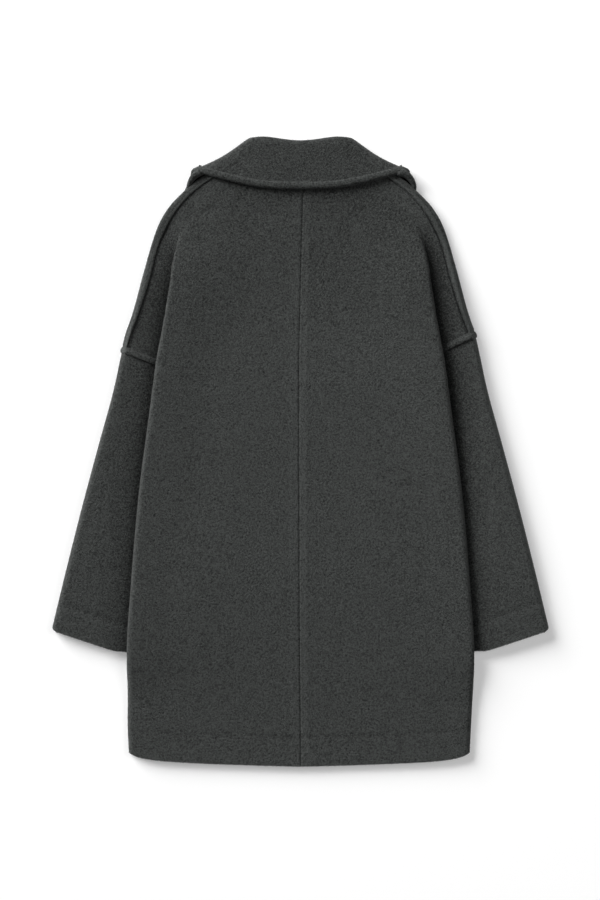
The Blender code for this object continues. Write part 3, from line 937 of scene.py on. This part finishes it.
def fibres(name, grids, seed, edge=None, outward=None):
    """Fine wool fibres that lie loosely on the upper side of grids of outer points."""
    chance = np.random.default_rng(seed)
    corners = []
    for grid in grids:
        normal = grid_normals(grid)
        across = np.cross(grid[1:, 1:] - grid[:-1, :-1], grid[1:, :-1] - grid[:-1, 1:])
        seen = (normal[:-1, :-1, 2] > -0.2) & (grid[:-1, :-1, 2] > 3.5)
        weight = (0.5 * np.linalg.norm(across, axis=2) * seen).ravel()
        count = int(FIBRE_DENSITY * weight.sum())
        chosen = chance.choice(weight.size, count, p=weight / weight.sum())
        row, column = np.divmod(chosen, seen.shape[1])
        down, along = chance.random((2, count, 1))

        def between(values):
            start = (1 - along) * values[row, column] + along * values[row, column + 1]
            end = (1 - along) * values[row + 1, column] + along * values[row + 1, column + 1]
            return (1 - down) * start + down * end

        root, up = between(grid), unit(between(normal))
        loose = chance.normal(size=(count, 3))
        flat = unit(loose - np.sum(loose * up, axis=1, keepdims=True) * up)
        lift = chance.uniform(*FIBRE_LIFTS, (count, 1))
        way = unit(flat + up * lift)
        aside = unit(np.cross(way, up))
        length = chance.uniform(*FIBRE_LENGTHS, (count, 1))
        curl = aside * chance.normal(0, 0.3, (count, 1)) - up * 0.3 * lift
        middle = root + way * FIBRE_BEND * length
        half = aside * FIBRE_WIDTH / 2
        tip = root + (way + curl) * length
        corners.append(np.stack([root - half, root + half, middle + half, middle - half, tip], axis=1))
    if edge is not None:
        corners.append(edge_fibres(edge, outward, chance))
    points = np.concatenate(corners).reshape(-1, 3)
    points[:, 2] = np.maximum(points[:, 2], 0.2)
    firsts = range(0, len(points), 5)
    faces = [(k, k + 1, k + 2, k + 3) for k in firsts] + [(k + 3, k + 2, k + 4) for k in firsts]
    return joined(name, points, faces, FIBRE_TONE)


def stitches(name, lines):
    """Short raised stitches of thread along lines of points on the cloth's outer face."""
    points, faces = [], []
    down = np.array([0, 0, STITCH_DEPTH])
    for line in lines:
        line = np.asarray(line)
        travel = travelled(line)
        starts = np.arange(2.0, travel[-1] - STITCH_LENGTH - 1, STITCH_LENGTH + STITCH_GAP)
        for start in starts:
            at = start + STITCH_LENGTH * np.array([0, 0.25, 0.75, 1])
            spine = np.stack([np.interp(at, travel, line[:, k]) for k in range(3)], axis=1)
            way = unit(spine[-1] - spine[0])
            aside = unit(np.array([-way[1], way[0], 0])) * STITCH_WIDTH / 2
            first = len(points)
            for middle, height in zip(spine, (-0.3, STITCH_HEIGHT, STITCH_HEIGHT, -0.3)):
                top = middle + np.array([0, 0, height])
                points.extend([top - aside - down, top, top + aside - down])
            for k in range(first, first + 9, 3):
                faces.extend([(k, k + 1, k + 4, k + 3), (k + 1, k + 2, k + 5, k + 4)])
    return joined(name, np.array(points), faces, STITCH_TONE)


# Back panels
for side in ARMHOLES:
    sign = ARMHOLES[side][0]
    lower, upper = row_heights(side, BACK_STEP)
    lower = lower[:1] + [HEM_CENTRE + rise for rise in HEM_ROWS] + lower[1:]
    main, stations = panel_rows(back_curve, side, lower + upper[1:], NEAR_SEAM, BACK_COLUMNS)
    heights = main[:, :, 1]
    away = np.abs(main[:, :, 0] - by_height(centre_x, heights))
    top = ease(*TOP_END, stations)
    lifted = top * ease(*RISE_START, heights)
    near_crest = ease(*CREST_REACH, by_height(crest_x, heights) - np.abs(main[:, :, 0]))
    main[:, :, 2] += lifted * BODY_RISE * (1 - near_crest) * ease(*BODY_RISE_END, heights)
    main[:, :, 2] += lifted * CREST_RISE * near_crest * ease(*CREST_RISE_END, heights)
    main[:, :, 2] -= CENTRE_GROOVE * bell(away, CENTRE_GROOVE_WIDTH)
    main[:, :, 2] += CENTRE_RIDGE * bell(away - CENTRE_RIDGE_AWAY, CENTRE_RIDGE_WIDTH)
    main[:, :, 2] += top * troughs(main, BODY_CREASES)
    above_hem = heights - hem_rise(main[:, :, 0], heights) - HEM_CENTRE
    hem_groove = bell(above_hem - HEM_LINE, HEM_GROOVE_WIDTH)
    main[:, :, 2] -= top * HEM_GROOVE * hem_groove

    below_collar = COLLAR_EDGE + COLLAR_EDGE_RISE * (main[:, :, 0] / COLLAR_EDGE_SIDE) ** 2 - heights
    # Tone: lighter nap on the pressed seam allowances; painted shade along the centre seam and hem line, a
    # painted highlight on the crest, painted shadow under the collar, painted shade at the fold's edge,
    # shoulders and upper fold
    tone_and_painted_light = SEAM_PRESS_TONE * bell(away - SEAM_PRESS_AWAY, SEAM_PRESS_WIDTH)
    tone_and_painted_light += CENTRE_GROOVE_PAINTED_SHADE * bell(away, CENTRE_GROOVE_SHADE_WIDTH)
    tone_and_painted_light += CREST_PAINTED_HIGHLIGHT[side] * bell(stations - CREST_PLACE, CREST_WIDTH) * ease(*CREST_HIGHLIGHT_END, heights)
    tone_and_painted_light += HEM_LINE_PAINTED_SHADE * hem_groove
    tone_and_painted_light += UNDER_COLLAR_PAINTED_SHADOW * ease(COLLAR_SHADE_RUN, 0, below_collar)
    tone_and_painted_light += FOLD_EDGE_PAINTED_SHADE[side] * bell(stations - FOLD_PLACE, FOLD_WIDTH) * ease(*FOLD_EDGE_END, heights)
    tone_and_painted_light += SHOULDER_PAINTED_SHADE[side] * within(SHOULDER_SPAN, heights)
    upper_fold = bell(stations - UPPER_FOLD_PLACE, UPPER_FOLD_WIDTH)
    tone_and_painted_light += UPPER_FOLD_PAINTED_SHADE * upper_fold * within(UPPER_FOLD_SPAN, heights)

    far_side = ease(*FOLD_FAR_SIDE, stations)
    main[:, :, 0] -= sign * FOLD_TUCK * within(TUCK_SPAN, heights) * far_side
    spread = FOLD_SPREAD * within(SPREAD_SPAN, heights) + HEM_SPREAD[side] * ease(*HEM_SPREAD_START, heights)
    main[:, :, 0] += sign * spread * ease(*SPREAD_PLACES, stations) * (1 - far_side)

    beyond = swollen([shoulder_row(side, y, np.linspace(0, 1, SHOULDER_COLUMNS), "back") for y in upper])
    from_fold = np.linalg.norm(beyond - beyond[:, :1], axis=2)
    beyond[:, :, 0] -= sign * FOLD_TUCK * within(TUCK_SPAN, beyond[:, :, 1]) * bell(from_fold, TUCK_REACH)
    # Painted shade along the shoulder seam and beside the body's fold
    to_seam = np.linalg.norm(beyond - beyond[:, -1:], axis=2)
    seam_shade_run = STRIP_SEAM_SHADE_WIDTH + STRIP_SEAM_SHADE_MORE * ease(*STRIP_SEAM_SHADE_LOW, beyond[:, :, 1])
    painted_light_and_shade = STRIP_SEAM_PAINTED_SHADE * bell(to_seam, seam_shade_run) + painted_fold_shade(beyond)
    piece = mesh_piece("cloth_back_" + side, [main, beyond], cloth, CLOTH, [tone_and_painted_light, painted_light_and_shade])
    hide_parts("back_" + side)
    hem_row = np.argmin(np.abs(above_hem[:, 0] - HEM_LINE))
    hem_line = outer(main)[hem_row, stations[hem_row] < CREST_PLACE]
    fibres(
                "fuzz_back_" + side, [outer(main), outer(beyond)], SEEDS["back"] + len(side),
                outer(main)[0, stations[0] < HEM_EDGE_END], np.array([0, -1.0, 0.1]),
            )
    stitches("thread_back_" + side, [hem_line])

# Raised seams along the shoulders and above the armholes
across_strip = np.linspace(-1, 1, 11)
arch = HALF + STRIP_SWELL * (1 - np.abs(across_strip) ** 3)
strips, bands, sewn, strip_grids = {}, {}, {}, {}
for side in ARMHOLES:
    underarm = ARMHOLES[side][2]
    rows = []
    for y in np.linspace(underarm + STRIP_START, STRIP_END, STRIP_ROWS):
        level = armhole_height(side, y, EDGE_STATION)
        seam = shoulder_station(side, level) + 0.03
        width = min(STRIP_WIDTH, edge_x(level) - seam_x(level) + 0.5)
        stations = np.linspace(seam, seam + 2.2, 200)
        travel = travelled(spline(shoulder_curve(side, level), stations))
        wanted = np.interp(np.linspace(0, width, len(arch)), travel, stations)
        rows.append([lifted_point(side, y, u, lift) for u, lift in zip(wanted, arch)])
    # Painted highlight on the strip's crown, painted shade on its sides and, on the left strip, along one
    # edge
    painted_light_and_shade = (STRIP_CROWN_PAINTED_HIGHLIGHT + STRIP_SIDE_PAINTED_SHADE * np.abs(across_strip) ** 4) * np.ones((len(rows), 1))
    painted_light_and_shade = painted_light_and_shade + STRIP_EDGE_PAINTED_SHADE[side] * ease(-0.4, 0.6, across_strip)
    strip = swollen(rows)
    strips[side] = mesh_piece("cloth_shoulder_strip_" + side, [strip], cloth, 0.0, [painted_light_and_shade])
    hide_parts("shoulder_strip_" + side)
    rows = []
    for rise, lift in zip(BAND_RISE, BAND_LIFT):
        places = np.linspace(*BAND_ENDS, BAND_COLUMNS)
        rows.append([lifted_point(side, underarm + rise, u, lift) for u in places])
    # Painted shade in the gap at the sleeve and along the band's top, a painted highlight on its crown,
    # painted shade beside the body's fold
    painted_light_and_shade = np.array(BAND_PAINTED_LIGHT)[:, None] + painted_fold_shade(np.array(rows))
    ridge = swollen(rows)
    bands[side] = mesh_piece("cloth_armhole_band_" + side, [ridge], cloth, 0.0, [painted_light_and_shade])
    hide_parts("armhole_band_" + side)
    strip_grids[side] = [strip, ridge]
    sewn[side] = stitches("thread_shoulder_" + side, [strip[:, 2], strip[:, -3], ridge[3], ridge[7]])

# Front panels
for side in ARMHOLES:
    sign, underarm = ARMHOLES[side][0], ARMHOLES[side][2]
    lower, upper = row_heights(side, FRONT_STEP)
    main = panel_rows(front_curve, side, lower + upper[1:], [0], FRONT_COLUMNS)[0]
    shares = np.concatenate([np.linspace(0, WRAP_SEEN, WRAP_COLUMNS), np.linspace(WRAP_SEEN, 1, 16)[1:]])
    wrap = swollen([shoulder_row(side, y, shares, "front") for y in upper])
    closing = []
    for y in [row for row in lower if row > underarm - CLOSING_RUN]:
        start, end = np.array(front_start(side, y)), np.array(side_seam(side, y))
        across = start + np.linspace(0, 1, 5)[:, None] * (end - start)
        closing.append([(sign * x, y, z) for x, z in across])
    tucked = []
    for y in np.linspace(underarm - TUCK_RUN, underarm, 16):
        beside_sleeve = crest_x(y) - SLEEVE_INSET - HALF - SEAM_GAP
        upright = np.linspace(HALF + SEAM_GAP, front_start(side, y)[1], 4)
        tucked.append([(sign * beside_sleeve, y, z) for z in upright])
    piece = mesh_piece("cloth_front_" + side, [main, wrap, closing, tucked], cloth, CLOTH)
    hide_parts("front_" + side)
    seen = [outer(wrap[:, :WRAP_COLUMNS])] + strip_grids[side]
    fuzz = fibres("fuzz_front_" + side, seen, SEEDS["front"] + len(side))

# Sleeves
for side in ARMHOLES:
    sign = ARMHOLES[side][0]
    shares = np.concatenate([np.linspace(0, 0.985, SLEEVE_ROWS), CUFF_SHARES])
    rings = swollen([sleeve_ring(side, share, SLEEVE_COLUMNS) for share in shares])
    above_cuff = (1 - shares)[:, None] * SLEEVE_LENGTH
    outside = by_height(edge_x, rings[:, :, 1]) - np.abs(rings[:, :, 0])
    turned = np.clip(1 - above_cuff / CORNER, 0, 1)
    rings[:, :, 0] -= sign * CORNER * (1 - np.sqrt(1 - turned ** 2)) * bell(outside, CORNER_REACH)
    from_body = np.abs(rings[:, :, 0]) - by_height(crest_x, rings[:, :, 1])
    curve = CUFF_CURVE[side] * bell(from_body, CUFF_CURVE_RUN)
    rings[:, :, 1] += curve * ease(CUFF_CURVE_RISE, 0, above_cuff)
    upper_layer = ease(*SLEEVE_UPPER_LAYER, rings[:, :, 2])
    above_line = above_cuff - CUFF_LINE
    rings[:, :, 2] -= upper_layer * CUFF_GROOVE * bell(above_line, CUFF_GROOVE_WIDTH)
    rings[:, :, 2] += upper_layer * CUFF_RIDGE * bell(above_line + CUFF_RIDGE_AWAY, CUFF_RIDGE_WIDTH)
    rings[:, :, 2] += upper_layer * troughs(rings, SLEEVE_CREASES[side])
    # Painted highlight on the cuff ridge, painted shade in the cuff line and beside the body's fold
    tone_and_painted_light = CUFF_RIDGE_PAINTED_HIGHLIGHT * bell(above_line + CUFF_RIDGE_AWAY, CUFF_RIDGE_HIGHLIGHT_WIDTH)
    tone_and_painted_light = tone_and_painted_light + CUFF_LINE_PAINTED_SHADE * bell(above_line - 1, CUFF_LINE_SHADE_WIDTH)
    tone_and_painted_light = upper_layer * (tone_and_painted_light + painted_fold_shade(rings))
    # Painted light at the outer edge: painted shade on the left sleeve, a painted highlight on the right
    tone_and_painted_light = tone_and_painted_light + SLEEVE_EDGE_PAINTED_LIGHT[side] * bell(outside, SLEEVE_EDGE_WIDTH)
    upper_side = outer(np.concatenate([rings[:, 2 * TURN_COLUMNS + SLEEVE_COLUMNS:], rings[:, 1:9]], axis=1))
    cuff_row = np.argmin(np.abs(above_line[:, 0]))
    turned_in = rings[:1] + upper_layer[:1, :, None] * np.array(SLEEVE_LIP)
    rings = np.concatenate([turned_in, rings])
    tone_and_painted_light = np.concatenate([tone_and_painted_light[:1], tone_and_painted_light])
    piece = mesh_piece("cloth_sleeve_" + side, [rings], cloth, CLOTH, [tone_and_painted_light])
    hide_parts("sleeve_" + side)
    fibres(
                "fuzz_sleeve_" + side, [upper_side], SEEDS["sleeve"] + len(side),
                upper_side[-1], unit(upper_side[-1, 20] - upper_side[-12, 20]),
            )
    stitches("thread_cuff_" + side, [upper_side[cuff_row, 2:-8]])

# Collar
along = np.concatenate([
    np.linspace(0, 1.5, 14)[:-1], np.linspace(1.5, 3.2, 36)[:-1], np.linspace(3.2, COLLAR_LENGTH / 2, 34),
])
along = np.concatenate([along, COLLAR_LENGTH - along[-2::-1]])
fall = collar_rows(along, np.linspace(ROLL_ROW, LAST_ROW, 44))
middle = along[(along > 3.9) & (along < 8.1)]
stand = collar_rows(middle, np.linspace(0, ROLL_ROW, 24))
fall[:, :, 2] += ease(9, 13, fall[:, :, 2]) * troughs(fall, COLLAR_CREASES)
from_end = np.minimum(along, COLLAR_LENGTH - along)
# Painted shade over the collar fall, with painted shadow at its ends
shade = (COLLAR_PAINTED_SHADE + COLLAR_END_PAINTED_SHADOW * ease(2.9, 2.3, from_end)) * np.ones((len(fall), 1))
collar = mesh_piece("cloth_collar", [fall, stand], cloth, CLOTH, [shade, None])
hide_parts("collar")

# Thick edge of the collar and its rounded ends
band_rows = len(BAND_OVERHANG)
across_band = np.linspace(-1, 1, band_rows)
band_along = along[from_end > 2.5]
first = LAST_ROW - 2 * COLLAR_BAND / (COLLAR_ROWS[5][0] - COLLAR_ROWS[7][0])
base = collar_rows(band_along, np.linspace(first, LAST_ROW - 0.01, band_rows))
swell = HALF + BAND_SWELL * (1 - np.abs(across_band) ** 3)
swell[-3:] = BAND_OUTER_SIDE
band = base + grid_normals(base) * swell[:, None, None]
band += unit(base[-1] - base[-4]) * np.array(BAND_OVERHANG)[:, None, None]
# Painted highlight on the edge's crown, painted shade on its sides and on its rounded ends
tone_and_painted_light = (BAND_CROWN_PAINTED_HIGHLIGHT * bell(across_band, 0.5) + BAND_SIDE_PAINTED_SHADE)[:, None] * np.ones(len(band_along))
tips = [tip_band(base[:, 0], COLLAR_TIPS["left"]), tip_band(base[:, -1], COLLAR_TIPS["right"])]
tip_shade = np.full(tips[0].shape[:2], TIP_PAINTED_SHADE)
collar_band = mesh_piece("cloth_collar_band", [band] + tips, cloth, 0.0, [tone_and_painted_light, tip_shade, tip_shade])
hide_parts("collar_band")
fibres("fuzz_collar", [outer(fall), band] + tips, SEEDS["collar"])
stitches("thread_collar", [band[1, 4:-4]])

# Floor
bpy.ops.mesh.primitive_plane_add(size=FLOOR_SIZE, location=(0, 0, -FLOOR_DROP))
ground = bpy.context.object
ground.name = "floor"
paper = bpy.data.materials.new("white_floor")
paper.use_nodes = True
paper_shader = paper.node_tree.nodes["Principled BSDF"]
paper_shader.inputs["Base Color"].default_value = FLOOR_TONE
paper_shader.inputs["Roughness"].default_value = 0.9
paper_shader.inputs["Emission Color"].default_value = (1, 1, 1, 1)
paper_shader.inputs["Emission Strength"].default_value = FLOOR_GLOW
ground.data.materials.append(paper)

# Lights, world and camera
for name, place, width, height, power in LIGHTS:
    lamp = bpy.data.lights.new(name, "AREA")
    lamp.shape = "RECTANGLE"
    lamp.size = width
    lamp.size_y = height
    lamp.energy = power
    holder = bpy.data.objects.new(name, lamp)
    holder.location = place
    holder.rotation_euler = (-Vector(place)).to_track_quat("-Z", "Y").to_euler()
    bpy.context.scene.collection.objects.link(holder)
world = bpy.data.worlds.new("studio")
world.use_nodes = True
world.node_tree.nodes["Background"].inputs["Color"].default_value = (1, 1, 1, 1)
world.node_tree.nodes["Background"].inputs["Strength"].default_value = WORLD_STRENGTH
bpy.context.scene.world = world

camera_data = bpy.data.cameras.new("camera")
camera_data.sensor_fit = "VERTICAL"
camera_data.sensor_height = SENSOR
camera_data.lens = SENSOR * CAMERA_DISTANCE / FIELD_HEIGHT
camera = bpy.data.objects.new("camera", camera_data)
camera.location = CAMERA_PLACE
bpy.context.scene.collection.objects.link(camera)
bpy.context.scene.camera = camera
bpy.context.scene.view_settings.view_transform = "Standard"
bpy.context.scene.view_settings.look = "None"
